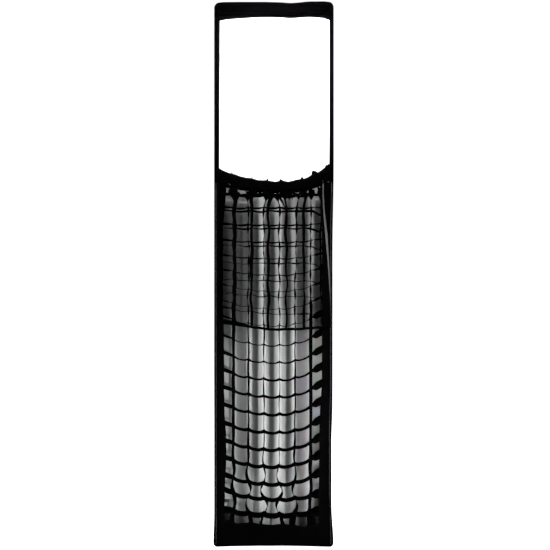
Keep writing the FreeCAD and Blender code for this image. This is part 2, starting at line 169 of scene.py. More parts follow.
def belongs(piece, body, slot, *nodes):
    """Attach a piece to the body it moves with and hide the CAD nodes it stands for; the slot argument is not
    used.
    """
    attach(piece, body)
    if nodes:
        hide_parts(*nodes)
    return piece


# ---- camera, lights and floor ----

VIEW_WIDTH = 1.616  # what the camera sees across at the rim's front
CAMERA_AWAY = 1.8
CAMERA_SIDE = 0.0032
AMBIENT = 0.17
BACKDROP = 1.05
LIGHT_TALL = 2.4
EDGE_HEIGHT = -0.49  # the narrow lights on the outer columns of the lower grid
EDGE_AIMS = {-1: (-0.150, 0.065), 1: (0.136, 0.110)}  # where each points across, and its watts


def make_camera():
    data = bpy.data.cameras.new("camera")
    camera = bpy.data.objects.new("camera", data)
    bpy.context.scene.collection.objects.link(camera)
    camera.location = (CAMERA_SIDE, FRONT - CAMERA_AWAY, -0.001)
    camera.rotation_euler = (math.radians(90), 0, 0)
    data.angle = 2 * math.atan(VIEW_WIDTH / 2 / CAMERA_AWAY)
    bpy.context.scene.camera = camera


def area_light(name, place, target, wide, tall, watts, spread=180):
    data = bpy.data.lights.new(name, "AREA")
    data.spread = math.radians(spread)
    data.shape = "RECTANGLE"
    data.size = wide
    data.size_y = tall
    data.energy = watts
    lamp = bpy.data.objects.new(name, data)
    bpy.context.scene.collection.objects.link(lamp)
    lamp.location = place
    lamp.rotation_euler = (Vector(target) - Vector(place)).to_track_quat("-Z", "Y").to_euler()


def make_studio():
    """Narrow tall lights in front, a soft pair behind, a white surround and a pale floor."""
    centre = (0, FRONT, 0)
    for side in (-1, 1):
        area_light(f"wide_light_{side}", (side * 0.98, FRONT - 1.0, 0), centre, 0.05, LIGHT_TALL, 23)
        area_light(f"front_light_{side}", (side * 0.56, FRONT - 1.6, 0), centre, 0.05, LIGHT_TALL, 2.0)
        aim, watts = EDGE_AIMS[side]
        place = (side * -0.14, FRONT - 1.6, EDGE_HEIGHT)
        area_light(f"edge_light_{side}", place, (aim, FRONT, EDGE_HEIGHT), 0.02, 0.56, watts, 6)
        area_light(f"rear_light_{side}", (side * 2.2, 1.9, 1.3), (0, 0, 0), 1.6, 1.6, 62)
    area_light("upper_light", (0, FRONT - 1.7, 0.72), (0, FRONT, 0.63), 0.22, 0.22, 8, 22)
    make_surround()
    half, low = 14.0, -HALF_H - 0.30
    corners = [(-half, -half, low), (half, -half, low), (half, half, low), (-half, half, low)]
    floor = make_object("floor", corners, [(0, 1, 2, 3)], plain_floor())
    floor.visible_diffuse = False
    bpy.context.scene.view_settings.view_transform = "Standard"


def make_surround():
    """A white world that is dimmer as a light than it looks."""
    world = bpy.data.worlds.new("surround")
    bpy.context.scene.world = world
    world.use_nodes = True
    tree = world.node_tree
    background = tree.nodes["Background"]
    background.inputs["Color"].default_value = (1, 1, 1, 1)
    path = tree.nodes.new("ShaderNodeLightPath")
    strength = tree.nodes.new("ShaderNodeMapRange")
    strength.inputs["To Min"].default_value = AMBIENT
    strength.inputs["To Max"].default_value = BACKDROP
    tree.links.new(path.outputs["Is Camera Ray"], strength.inputs["Value"])
    tree.links.new(strength.outputs[0], background.inputs["Strength"])


# ---- materials ----


class Nodes:
    """A short way to write a node material."""

    def __init__(self, name, colour, roughness, metallic=0.0):
        self.material = bpy.data.materials.new(name)
        self.material.use_nodes = True
        self.tree = self.material.node_tree
        self.shader = self.tree.nodes["Principled BSDF"]
        self.set("Base Color", (*colour, 1))
        self.set("Roughness", roughness)
        self.set("Metallic", metallic)
        self.height = None
        self.coordinates = self.tree.nodes.new("ShaderNodeTexCoord").outputs["Object"]

    def set(self, socket, value):
        self.shader.inputs[socket].default_value = value

    def node(self, kind, inputs=None, **settings):
        made = self.tree.nodes.new(kind)
        for key, value in settings.items():
            setattr(made, key, value)
        for key, value in (inputs or {}).items():
            if isinstance(value, bpy.types.NodeSocket):
                self.tree.links.new(value, made.inputs[key])
            else:
                made.inputs[key].default_value = value
        return made

    def stretched(self, scale):
        return self.node("ShaderNodeMapping", {"Vector": self.coordinates, "Scale": scale}).outputs[0]

    def noise(self, scale, detail=3.0, vector=None):
        inputs = {"Vector": vector or self.coordinates, "Scale": scale, "Detail": detail}
        return self.node("ShaderNodeTexNoise", inputs).outputs["Fac"]

    def wave(self, scale, direction, distortion=0.0):
        inputs = {"Vector": self.coordinates, "Scale": scale, "Distortion": distortion, "Detail": 1.0}
        return self.node("ShaderNodeTexWave", inputs, bands_direction=direction).outputs["Fac"]

    def math(self, operation, a, b):
        return self.node("ShaderNodeMath", {0: a, 1: b}, operation=operation).outputs[0]

    def remap(self, value, low, high):
        return self.node("ShaderNodeMapRange", {"Value": value, "To Min": low, "To Max": high}).outputs[0]

    def colour_between(self, factor, dark, light):
        mix = self.node("ShaderNodeMix", {"Factor": factor}, data_type="RGBA")
        mix.inputs["A"].default_value = (*dark, 1)
        mix.inputs["B"].default_value = (*light, 1)
        self.tree.links.new(mix.outputs["Result"], self.shader.inputs["Base Color"])

    def rough_between(self, factor, low, high):
        self.tree.links.new(self.remap(factor, low, high), self.shader.inputs["Roughness"])

    def bump(self, height, distance, strength=0.5):
        inputs = {"Height": height, "Distance": distance, "Strength": strength}
        if self.height is not None:
            inputs["Normal"] = self.height
        self.height = self.node("ShaderNodeBump", inputs).outputs[0]
        self.tree.links.new(self.height, self.shader.inputs["Normal"])

    def weave(self, threads_per_metre, distance, axes="XYZ", strength=0.5):
        """Crossed threads, as the product of waves along the axes."""
        scale = threads_per_metre / 6.2
        heights = [self.wave(scale, axis) for axis in axes]
        both = heights[0]
        for other in heights[1:]:
            both = self.math("MULTIPLY", both, other)
        self.bump(both, distance, strength)
        return both


def plain_floor():
    m = Nodes("pale_floor", (0.9, 0.9, 0.9), 0.95)
    m.set("Emission Color", (1, 1, 1, 1))
    m.set("Emission Strength", 0.90)
    m.bump(m.noise(40.0), 0.0005, 0.1)
    return m.material


def nylon(name, dark, light, sheen=0.15, gloss=0.35):
    """Coated black nylon: a fine weave, soft creases and a dull sheen."""
    m = Nodes(name, light, 0.62)
    m.set("Sheen Weight", sheen)
    m.set("Sheen Roughness", 0.45)
    m.set("Specular IOR Level", gloss)
    patches = m.noise(9.0, 4.0)
    m.colour_between(patches, dark, light)
    m.rough_between(m.noise(30.0), 0.5, 0.72)
    m.bump(m.noise(14.0, 5.0), 0.004, 0.18)
    m.weave(1400.0, 0.0003)
    return m.material


def strip_cloth(name):
    """The grid's matt black cloth."""
    m = Nodes(name, (0.0016, 0.0016, 0.0018), 0.92)
    m.set("Specular IOR Level", 0.0)
    m.colour_between(m.noise(60.0, 4.0), (0.0005, 0.0005, 0.0006), (0.0016, 0.0016, 0.0018))
    m.rough_between(m.noise(120.0), 0.85, 0.98)
    m.bump(m.noise(90.0), 0.0008, 0.2)
    m.weave(1100.0, 0.0003)
    return m.material


def diffusion_cloth(name, tone):
    """White translucent nylon with a fine crossed weave and faint soft creases."""
    m = Nodes(name, tone, 0.7)
    m.set("Specular IOR Level", 0.25)
    m.set("Subsurface Weight", 0.05)
    m.set("Subsurface Scale", 0.004)
    m.colour_between(m.noise(5.0, 3.0), tuple(c * 0.965 for c in tone), tone)
    m.rough_between(m.noise(25.0), 0.62, 0.78)
    m.bump(m.noise(6.0, 3.0, m.stretched((1.6, 1, 0.35))), 0.006, 0.15)
    m.weave(900.0, 0.0002, axes="XZ", strength=0.35)
    return m.material


def pile_tape(name, dark, light, size, height, gloss=0.25):
    """Loop or hook tape: a dense field of tiny knobs."""
    m = Nodes(name, light, 0.88)
    m.set("Specular IOR Level", gloss)
    cells = m.node("ShaderNodeTexVoronoi", {"Vector": m.coordinates, "Scale": 1.0 / size})
    m.colour_between(cells.outputs["Distance"], light, dark)
    m.rough_between(m.noise(80.0), 0.8, 0.95)
    m.bump(cells.outputs["Distance"], height, 0.6)
    return m.material


def webbing(name, tone, ribs_per_metre, direction):
    """Woven tape or elastic with ribs across it."""
    m = Nodes(name, tone, 0.85)
    m.set("Sheen Weight", 0.2)
    ribs = m.wave(ribs_per_metre / 6.2, direction, 0.4)
    m.colour_between(ribs, tuple(c * 0.55 for c in tone), tone)
    m.rough_between(m.noise(90.0), 0.75, 0.92)
    m.bump(ribs, 0.0004, 0.5)
    return m.material


def silver_lining():
    """Silver-coated inside of the walls, finely crinkled."""
    m = Nodes("silver_lining", (0.62, 0.63, 0.64), 0.32, 0.9)
    m.colour_between(m.noise(18.0, 4.0), (0.5, 0.51, 0.52), (0.7, 0.71, 0.72))
    m.rough_between(m.noise(50.0, 4.0), 0.25, 0.45)
    m.bump(m.noise(70.0, 6.0), 0.002, 0.35)
    m.weave(900.0, 0.0002)
    return m.material


def powder_coat():
    """Black powder coat with a fine orange-peel grain and rubbed edges."""
    m = Nodes("powder_coat", (0.02, 0.02, 0.021), 0.45)
    m.colour_between(m.noise(120.0, 4.0), (0.014, 0.014, 0.015), (0.035, 0.035, 0.036))
    m.rough_between(m.noise(60.0), 0.38, 0.55)
    m.bump(m.noise(900.0, 2.0), 0.0003, 0.4)
    return m.material


def plated_steel(name, tone, roughness, grain):
    """Plated or ground steel with fine brushed lines."""
    m = Nodes(name, tone, roughness, 1.0)
    lines = m.noise(60.0, 6.0, m.stretched(grain))
    m.colour_between(lines, tuple(c * 0.8 for c in tone), tone)
    m.rough_between(lines, roughness - 0.08, roughness + 0.1)
    m.bump(lines, 0.0002, 0.25)
    return m.material


def moulded(name, tone, roughness):
    """Moulded plastic with a fine spark-eroded grain."""
    m = Nodes(name, tone, roughness)
    m.colour_between(m.noise(40.0), tuple(c * 0.8 for c in tone), tone)
    m.rough_between(m.noise(200.0), roughness - 0.06, roughness + 0.08)
    m.bump(m.noise(1500.0, 2.0), 0.0002, 0.4)
    return m.material


WALL_CLOTH = nylon("wall_nylon", (0.007, 0.007, 0.008), (0.014, 0.014, 0.015), 0.12)
# Painted shade: this copy of the walls' black nylon is painted about ten times darker and given no gloss, for
# the rim's front and inner faces and the other black parts seen from the front. The rim's outer sides get the
# lighter copy below.
SHADED_BLACK_NYLON = nylon("rim_nylon_painted_shade", (0.0004, 0.0004, 0.0005), (0.0014, 0.0014, 0.0015), 0.0, 0.0)
SIDE_CLOTH = nylon("rim_side_nylon", (0.005, 0.005, 0.006), (0.010, 0.010, 0.011), 0.08, 0.25)
GRID_CLOTH = strip_cloth("grid_cloth")
WHITE_CLOTH = diffusion_cloth("white_diffusion", (0.86, 0.86, 0.855))
BAFFLE_CLOTH = diffusion_cloth("baffle_diffusion", (0.84, 0.84, 0.83))
# Painted shade: the loop tape inside the rim is a copy of the closures' loop pile painted over ten times
# darker and given no gloss, so the lamp that falls on it does not show.
SHADED_LOOP_TAPE = pile_tape("loop_pile", (0.0003, 0.0003, 0.0004), (0.0012, 0.0012, 0.0014), 0.0011, 0.0008, 0.0)
SOFT_LOOPS = pile_tape("soft_loop_pile", (0.006, 0.006, 0.0065), (0.016, 0.016, 0.017), 0.0011, 0.0010)
# Painted sheen: the black hook tape is painted mid grey, far lighter than the other black cloth, and shows as
# a light streak on the flap's turned right border.
HOOK_TAPE_PAINTED_SHEEN = pile_tape("hook_field_painted_sheen", (0.05, 0.05, 0.053), (0.17, 0.17, 0.175), 0.0015, 0.0009)
WHITE_HOOKS = pile_tape("white_hooks", (0.6, 0.6, 0.59), (0.85, 0.85, 0.84), 0.0015, 0.0008)
BINDING = webbing("binding_tape", (0.016, 0.016, 0.017), 800.0, "Z")
ELASTIC = webbing("ribbed_elastic", (0.03, 0.03, 0.031), 500.0, "X")
THREAD = webbing("sewing_thread", (0.02, 0.02, 0.021), 1500.0, "DIAGONAL")
LINING = silver_lining()
POWDER = powder_coat()
ZINC = plated_steel("zinc_plate", (0.40, 0.40, 0.39), 0.42, (1, 6, 1))
SCREW_STEEL = plated_steel("screw_plate", (0.45, 0.45, 0.46), 0.3, (6, 1, 6))
ROD_STEEL = plated_steel("spring_steel", (0.4, 0.41, 0.43), 0.28, (8, 8, 1))
BLACK_PLASTIC = moulded("black_nylon_moulding", (0.022, 0.022, 0.023), 0.5)
WHITE_PLASTIC = moulded("natural_nylon", (0.72, 0.72, 0.69), 0.45)


# ---- how the cloth has settled ----

SIDE_COLUMNS = (150, 44)  # points along a long and a short side of the shell's section
CORNER_COLUMNS = 6
WALL_BOW_ACROSS = 0.62  # where the walls' curve bends, as shares of the way from neck to front
WALL_BOW_DEEP = 0.36
FRONT_CORNER = 0.011
NECK_CORNER = 0.030
BAFFLE_Y = span("inner_baffle")[0][1]


def lean(x, z, y=FRONT):
    """How far the right side of the front leans in, which it does below the fold."""
    amount = 0.0036 * smooth(0.32, 0.05, z) + 0.0030 * smooth(-0.38, -0.50, z)
    amount = amount * (1 - 0.6 * smooth(-0.66, -0.79, z))
    return -amount * smooth(0.105, 0.168, x) * smooth(-0.16, -0.33, y)


def settled(points):
    """Points of the outer shell after the front's lean, its flared foot and its arched lower edge."""
    x, y, z = points[..., 0], points[..., 1], points[..., 2]
    forward = smooth(-0.16, -0.33, y)
    foot = smooth(-0.70, -0.80, z) * forward
    out = points.copy()
    out[..., 0] = x + lean(x, z, y) + np.sign(x) * 0.0022 * foot * smooth(0.1, 0.17, np.abs(x))
    head = smooth(0.72, 0.80, z) * forward
    crown = np.interp(x, (-0.175, -0.165, -0.15, -0.02, 0.02, 0.047, 0.07, 0.10, 0.149, 0.165, 0.175),
                      (-0.0045, -0.001, 0.001, 0.0012, 0, -0.002, -0.0005, 0.003, 0.0034, 0.0015, -0.002))
    out[..., 2] = z + 0.0030 * foot * (1 - (x / HALF_W) ** 2) + head * crown
    return out


def round_box(half_w, half_h, radius, counts=None, corner=8, step=0.008):
    """A rounded rectangle as places (x, z) and outward directions, anticlockwise from the right side."""
    places, normals = [], []
    for side in range(4):
        turn = side * math.pi / 2
        n = np.array([math.cos(turn), math.sin(turn)])
        along = np.array([-n[1], n[0]])
        reach, other = (half_h, half_w) if side % 2 else (half_w, half_h)
        length = 2 * (other - radius)
        count = counts[side % 2] if counts else max(4, int(length / step))
        for i in range(count):
            places.append(n * reach + along * (i / count - 0.5) * length)
            normals.append(n)
        pivot = n * (reach - radius) + along * length / 2
        for i in range(corner):
            angle = turn + math.pi / 2 * i / corner
            n_corner = np.array([math.cos(angle), math.sin(angle)])
            places.append(pivot + radius * n_corner)
            normals.append(n_corner)
    return np.array(places), np.array(normals)


def swept(places, normals, profile, ripple=0.0):
    """A profile of (inward, y) points carried along places (x, z)."""
    points = np.zeros((len(places), len(profile), 3))
    for k, (inward, y) in enumerate(profile):
        points[:, k, ::2] = places - normals * inward
        points[:, k, 1] = y + ripple
    return points


def loop_sweep(name, profile, material, waves=0.0, seed=0.0):
    """A closed profile carried round the front's rounded rectangle."""
    places, normals = round_box(HALF_W, HALF_H, FRONT_CORNER)
    ripple = waves * wander(places[:, 0], 0.0, places[:, 1], 0.055, seed)
    return surface(name, settled(swept(places, normals, profile, ripple)), material, True, True)


def tape_profile(inward, thick, front, rear, edge=0.0006):
    """The section of a flat tape on the inside of the rim."""
    return [
        (inward, rear - edge),
        (inward, front + edge),
        (inward + edge, front),
        (inward + thick, front + edge),
        (inward + thick, (front + rear) / 2),
        (inward + thick, rear - edge),
        (inward + edge, rear),
    ]


def tube(name, path, radius, material, sides=8, closed=False, squash=1.0):
    """A tube round a path of points, with capped ends unless it is closed on itself."""
    path = np.asarray(path, float)
    tangent = np.roll(path, -1, 0) - np.roll(path, 1, 0) if closed else np.gradient(path, axis=0)
    tangent /= np.linalg.norm(tangent, axis=1, keepdims=True)
    helper = np.where(np.abs(tangent[:, 1:2]) < 0.9, [[0, 1, 0]], [[1, 0, 0]])
    u = np.cross(tangent, helper)
    u /= np.linalg.norm(u, axis=1, keepdims=True)
    v = np.cross(tangent, u)
    angles = np.linspace(0, 2 * math.pi, sides, endpoint=False)[None, :, None]
    rows = len(path)
    radius = np.broadcast_to(np.asarray(radius, float), (rows,))[:, None, None]
    ring = np.cos(angles) * u[:, None] + squash * np.sin(angles) * v[:, None]
    faces = grid_faces(rows, sides, closed, True)
    if not closed:
        faces.append(tuple(range(sides))[::-1])
        faces.append(tuple((rows - 1) * sides + k for k in range(sides)))
    return make_object(name, (path[:, None] + radius * ring).reshape(-1, 3), faces, material)


STITCH_STEP = 0.0046
STITCH_THICK = 0.00034
STITCH_SHARES = np.array([-0.5, -0.28, 0.28, 0.5]) * 0.0034 / STITCH_STEP
STITCH_LIFTS = np.array([-0.6, 0.9, 0.9, -0.6]) * STITCH_THICK
STITCH_SIDES = 5


def stitches(name, paths):
    """Rows of short raised threads along paths, each dipping into the cloth at its ends."""
    vertices, faces = [], []
    angles = np.linspace(0, 2 * math.pi, STITCH_SIDES, endpoint=False)
    for path, normals in paths:
        lengths = np.r_[0, np.cumsum(np.linalg.norm(np.diff(path, axis=0), axis=1))]
        for i in range(int(lengths[-1] / STITCH_STEP)):
            at = (i + 0.5 + STITCH_SHARES) * STITCH_STEP
            centre = np.stack([np.interp(at, lengths, path[:, k]) for k in range(3)], 1)
            normal = np.stack([np.interp(at, lengths, normals[:, k]) for k in range(3)], 1)
            along = centre[-1] - centre[0]
            along /= np.linalg.norm(along)
            across = np.cross(along, normal[1])
            across /= np.linalg.norm(across)
            first = len(vertices)
            for k in range(4):
                for angle in angles:
                    offset = math.cos(angle) * across + math.sin(angle) * normal[k]
                    vertices.append(centre[k] + normal[k] * STITCH_LIFTS[k] + offset * STITCH_THICK)
            faces += grid_faces(4, STITCH_SIDES, False, True, first)
            faces.append(tuple(first + k for k in range(STITCH_SIDES))[::-1])
            faces.append(tuple(first + 3 * STITCH_SIDES + k for k in range(STITCH_SIDES)))
    return make_object(name, vertices, faces, THREAD)


# ---- rim, tapes and front diffuser ----

HEM_DEEP = 0.014
HEM_PROUD = 0.0008
RIM_THICK = 0.0020


def rim_profile():
    """The recess wall with a rolled hem along its front edge."""
    hem = FRONT + HEM_DEEP
    inner = HEM_PROUD + 0.0026
    return [
        (0.0, RIM_REAR),
        (0.0, (RIM_REAR + hem) / 2),
        (0.0, hem + 0.0006),
        (-HEM_PROUD, hem - 0.0008),
        (-HEM_PROUD, FRONT + 0.0030),
        (-HEM_PROUD * 0.5, FRONT + 0.0006),
        (0.0012, FRONT - 0.0002),
        (inner - 0.0008, FRONT + 0.0008),
        (inner, FRONT + 0.0030),
        (inner, hem - 0.0008),
        (RIM_THICK, hem + 0.0006),
        (RIM_THICK, (RIM_REAR + hem) / 2),
        (RIM_THICK, RIM_REAR),
    ]


def rim_stitch_path(inward, y):
    """A closed line round the rim, with its outward directions."""
    places, normals = round_box(HALF_W, HALF_H, FRONT_CORNER)
    places, normals = np.vstack([places, places[:1]]), np.vstack([normals, normals[:1]])
    return settled(swept(places, normals, [(inward, y)])[:, 0]), np.insert(normals, 1, 0.0, axis=1)


def make_rim():
    rim = loop_sweep("rim_cloth", rim_profile(), SHADED_BLACK_NYLON, waves=0.0009, seed=3.0)
    rim.data.materials.append(SIDE_CLOTH)
    segments = len(rim_profile())
    # Only the rim's outer faces get the lighter nylon; its front and inner faces keep the copy with painted
    # shade.
    for face in rim.data.polygons:
        if face.index % segments < 4:
            face.material_index = 1
    belongs(rim, "softbox", "black_nylon", "rim_top", "rim_bottom", "rim_left", "rim_right")
    seams = stitches("rim_stitching", [
        rim_stitch_path(-HEM_PROUD - 0.0001, FRONT + HEM_DEEP - 0.0030),
        rim_stitch_path(-0.0001, RIM_REAR - 0.0120),
    ])
    belongs(seams, "softbox", "black_webbing")
    for word, inward, thick, seed in (("grid", 0.0034, 0.0011, 5), ("diffuser", 0.0021, 0.0018, 7)):
        low, high = span(f"{word}_loop_tape")
        profile = tape_profile(inward, thick, low[1], high[1])
        tape = loop_sweep(f"{word}_loop_cloth", profile, SHADED_LOOP_TAPE, 0.0004, seed)
        belongs(tape, "softbox", "loop_tape", f"{word}_loop_tape")
    front, rear = RIM_REAR - 0.0085, RIM_REAR + 0.0075
    binding = [(0.0, rear), (-0.0010, rear - 0.0012), (-0.0014, (front + rear) / 2),
               (-0.0010, front + 0.0012), (0.0, front), (0.0008, (front + rear) / 2)]
    seam = loop_sweep("front_seam_binding", binding, BINDING, 0.0005, 9)
    belongs(seam, "softbox", "black_webbing")
    sewing = stitches("front_seam_stitching", [
        rim_stitch_path(-0.0013, front + 0.0030),
        rim_stitch_path(-0.0013, rear - 0.0030),
    ])
    belongs(sewing, "softbox", "black_webbing")


def make_diffuser():
    """The white front cloth, faintly slack between its taped edges, with its edge tape and black binding."""
    low, high = span("front_diffuser")
    wide, tall = high[0] - low[0], high[2] - low[2]
    columns, rows = 70, 240
    u, v = np.meshgrid(np.linspace(-1, 1, columns), np.linspace(-1, 1, rows))
    x, z = u * wide / 2, v * tall / 2
    inside = (1 - np.abs(u) ** 6) * (1 - np.abs(v) ** 10)
    folds = 0.0016 * wander(x * 2.6, 0.0, z * 0.30, 0.12, 11.0) + 0.0007 * wander(x * 4, 0.0, z, 0.09, 12.0)
    y = (low[1] + high[1]) / 2 - inside * folds
    cloth = surface("front_diffuser_cloth", settled(np.stack([x, y, z], -1)), WHITE_CLOTH)
    thicken(cloth, 0.0007)
    belongs(cloth, "softbox", "white_diffusion", "front_diffuser")
    low, high = span("diffuser_hook_tape")
    front, rear = low[1] - 0.0004, high[1]
    profile = [(0.0046, rear), (0.0046, front + 0.0003), (0.0052, front),
               (0.0118, front), (0.0124, front + 0.0004), (0.0124, rear)]
    tape = loop_sweep("diffuser_edge_tape", profile, WHITE_HOOKS, 0.0003, 13)
    belongs(tape, "softbox", "white_hook_tape", "diffuser_hook_tape")
    make_diffuser_binding(front - 0.0006)


def make_diffuser_binding(y):
    """Black binding on the cloth's edges; along the top it is pulled into a shallow arch."""
    outer_x, outer_z = HALF_W - RIM_THICK - 0.0003, HALF_H - RIM_THICK - 0.0003
    share = np.linspace(0, 1, 5)[:, None]
    x = np.linspace(-outer_x, outer_x, 120)[None, :]
    arch = np.interp(x, (-0.17, -0.13, -0.069, 0, 0.1177, 0.153, 0.156, 0.160, 0.172),
                     (0.0100, 0.0053, 0.0017, 0, 0.0017, 0.0050, 0.0042, 0.0075, 0.0072))
    top = outer_z + (HALF_H - 0.0090 - arch - outer_z) * share
    sheets = [settled(np.stack(np.broadcast_arrays(x, y - 0.0004 * np.sin(3 * share), top), -1))]
    z = np.linspace(-outer_z, outer_z, 160)[None, :]
    for side, inner in ((-1, 0.1662), (1, 0.1722)):
        taper = np.interp(z, (0.25, 0.6), (0.0030 if side < 0 else 0.0, 0))
        across = side * (outer_x + (inner + taper - outer_x) * share)
        sheets.append(settled(np.stack(np.broadcast_arrays(across, y + 0.0003 * share, z), -1)))
    binding = surfaces("diffuser_binding", sheets, SHADED_BLACK_NYLON)
    thicken(binding, 0.0009)
    belongs(binding, "softbox", "black_webbing")


# ---- bowed walls, seams and neck ----


def shell_ring(t):
    """The shell's section at a share of the walls' curve: places, outward directions, y and half sizes."""
    knee_y = NECK_Y + (RIM_REAR - NECK_Y) * WALL_BOW_DEEP
    y = 2 * t * (1 - t) * knee_y + (1 - t) ** 2 * NECK_Y + t * t * RIM_REAR
    share = 2 * t * (1 - t) * WALL_BOW_ACROSS + t * t
    half_w = NECK_HALF + (HALF_W - NECK_HALF) * share
    half_h = NECK_HALF + (HALF_H - NECK_HALF) * share
    radius = NECK_CORNER + (FRONT_CORNER - NECK_CORNER) * min(1.0, 2 * share)
    places, normals = round_box(half_w, half_h, radius, SIDE_COLUMNS, CORNER_COLUMNS)
    return places, normals, y, half_w, half_h


def make_walls():
    """Four bowed panels: pulled in between the rods, creased from the corners, gathered at the neck."""
    rings = []
    for t in np.linspace(0, 1, 84):
        places, normals, y, half_w, half_h = shell_ring(t)
        flat = np.abs(normals).max(1) > 0.999
        long_side = np.abs(normals[:, 0]) > 0.999
        run = np.where(long_side, places[:, 1] / half_h, places[:, 0] / half_w)
        slack = np.where(flat, 1 - run ** 2, 0.0)
        baffle_hold = 1 - math.exp(-((y - BAFFLE_Y) / 0.030) ** 2)
        ends = math.sin(math.pi * t) ** 0.8 * baffle_hold
        pull = 0.0042 * slack * ends
        x, z = places.T
        crease = 0.0022 * wander(x + y * 1.6, y * 0.5, z + y * 2.2 * np.sign(z), 0.045, 21)
        fine = 0.0009 * wander(x, y * 0.6, z, 0.018, 23)
        gather = 0.0022 * (1 - smooth(0.0, 0.20, t)) * wander(x, y * 0.25, z, 0.010, 25)
        held = smooth(0.0, 0.03, t) * (1 - smooth(0.97, 1.0, t))
        out = (crease + fine) * held * (0.35 + 0.65 * slack) + gather * smooth(0.0, 0.02, t) - pull - 0.0006
        ring = np.zeros((len(places), 3))
        ring[:, ::2] = places + normals * out[:, None]
        ring[:, 1] = y
        rings.append(ring)
    points = settled(np.array(rings))
    walls = surface("wall_cloth", points, [WALL_CLOTH, LINING], round_columns=True)
    thicken(walls, 0.0014, offset=-1, inner_slot=1)
    return walls, points


def shell_line(points, column, lift):
    """A line down the shell at one column of its points, with its outward directions."""
    count = points.shape[1]
    line = points[:, column % count]
    around = points[:, (column + 1) % count] - points[:, (column - 1) % count]
    down = np.gradient(line, axis=0)
    normal = np.cross(around, down)
    normal /= np.linalg.norm(normal, axis=1, keepdims=True)
    outward = np.stack([line[:, 0], np.zeros(len(line)), line[:, 2]], 1)
    normal *= np.sign((normal * outward).sum(1, keepdims=True))
    return line + normal * lift, normal


def make_shell():
    walls, points = make_walls()
    belongs(walls, "softbox", "black_nylon", "wall_top", "wall_bottom", "wall_left", "wall_right")
    corners, passed = [], 0
    for side in range(4):
        passed += SIDE_COLUMNS[side % 2] + CORNER_COLUMNS
        corners.append(passed - CORNER_COLUMNS // 2)
    for k, column in enumerate(corners):
        line, _ = shell_line(points, column, 0.0006)
        piping = tube(f"corner_piping_{k + 1}", line, 0.0021, BINDING, 8)
        belongs(piping, "softbox", "black_webbing")
    paths = [shell_line(points, column + side, 0.0002) for column in corners for side in (-6, 6)]
    belongs(stitches("corner_stitching", paths), "softbox", "black_webbing")


# ---- grid: an egg-crate of cloth strips, hanging from its upper third folded down ----

FOLD_START = 0.29  # the strips bend over above this height of the ideal grid
FOLD_REACH = 0.018  # from the fold line to the middle of either half's depth
LOWER_MID = (GRID_LOW[1] + GRID_HIGH[1]) / 2
FLAP_MID = (FLAP_LOW[1] + FLAP_HIGH[1]) / 2
BAND_X = BAND_OUT - 0.0010
FLANGE_IN = BAND_OUT - 0.0290
SIGNS = (-0.5, 0.8, -1.0, 1.0, -0.75, 0.25)  # which way each upright swings between two rows
FOLD_TURNS = (-1.6, 1.9, 1.2, -1.5, 1.4, -1.8)  # how far each upright turns over the crest
FOLD_ROWS = (  # angle round the bend, seed, unrest, and whether the strip is shallow
    (0.24, 71, 0.34, 0), (1.02, 73, 0.22, 1), (1.45, 74, 0.22, 1), (2.05, 75, 0.30, 1), (2.84, 77, 0.40, 0)
)


def crest(x):
    """Height of the fold's top edge, which sags most a little right of the middle."""
    left = 0.0385 * (np.clip(0.025 - x, 0, 1) / 0.189) ** 2.2
    right = 0.0470 * (np.clip(x - 0.025, 0, 1) / 0.133) ** 2.2
    return np.minimum(0.276 + left + right, 0.3245)


def fold_tall(x):
    """Height of the bend itself, more open at the sides."""
    return 0.036 + 0.013 * (np.abs(x) / 0.15) ** 2


def fold_base(x):
    return crest(x) - fold_tall(x)


def lower_place(x, z):
    """Where a point of the ideal lower grid has settled."""
    x, z = np.broadcast_arrays(np.asarray(x, float), np.asarray(z, float))
    inside = 1 - np.clip(np.abs(x) / BAND_X, 0, 1) ** 4
    place_x = x + inside * (-0.0068 + 0.0022 * wander(x, 0.0, z, 0.16, 31)) + lean(x, z)
    place_x = place_x + 0.0045 * smooth(-0.09, 0.04, z) * np.clip(1 - np.abs(x - UPRIGHT_X[4]) / PITCH, 0, 1)
    aside = x - 0.0158
    smile = np.where(aside < 0, 1.05, 2.2 - 1.2 * smooth(-0.60, -0.66, z)) * aside ** 2
    smile = smile * smooth(0.22, -0.22, z) * (1 - 0.45 * smooth(-0.66, -0.71, z))
    smile = smile * (1 - smooth(-0.735, -0.775, z))
    level = 0.0035 + 0.0055 * smooth(0.10, -0.08, z) - 0.0075 * smooth(-0.16, -0.21, z)
    level = level + 0.0075 * smooth(-0.61, -0.705, z) - 0.0085 * smooth(-0.715, -0.735, z)
    heights = (-0.7135, -0.663, -0.6125, -0.562, -0.461, -0.41, -0.2)
    level = level + np.interp(z, heights, (-0.005, -0.0055, -0.007, -0.0065, -0.0055, -0.0014, 0))
    gathered = smooth(0.222, FOLD_START, z) * (fold_base(x) - FOLD_START - 0.003)
    place_z = z + (smile + level + 0.0016 * wander(x, 0.0, z, 0.075, 33)) * smooth(-0.79, -0.76, z) + gathered
    return place_x, place_z


def flap_band_x(z):
    """The flap's right border, drawn in towards the fold."""
    heights = (-0.16, -0.03, 0.041, 0.112, 0.183, 0.282)
    return np.interp(z, heights, (0.1645, 0.160, 0.156, 0.151, 0.144, 0.1385))


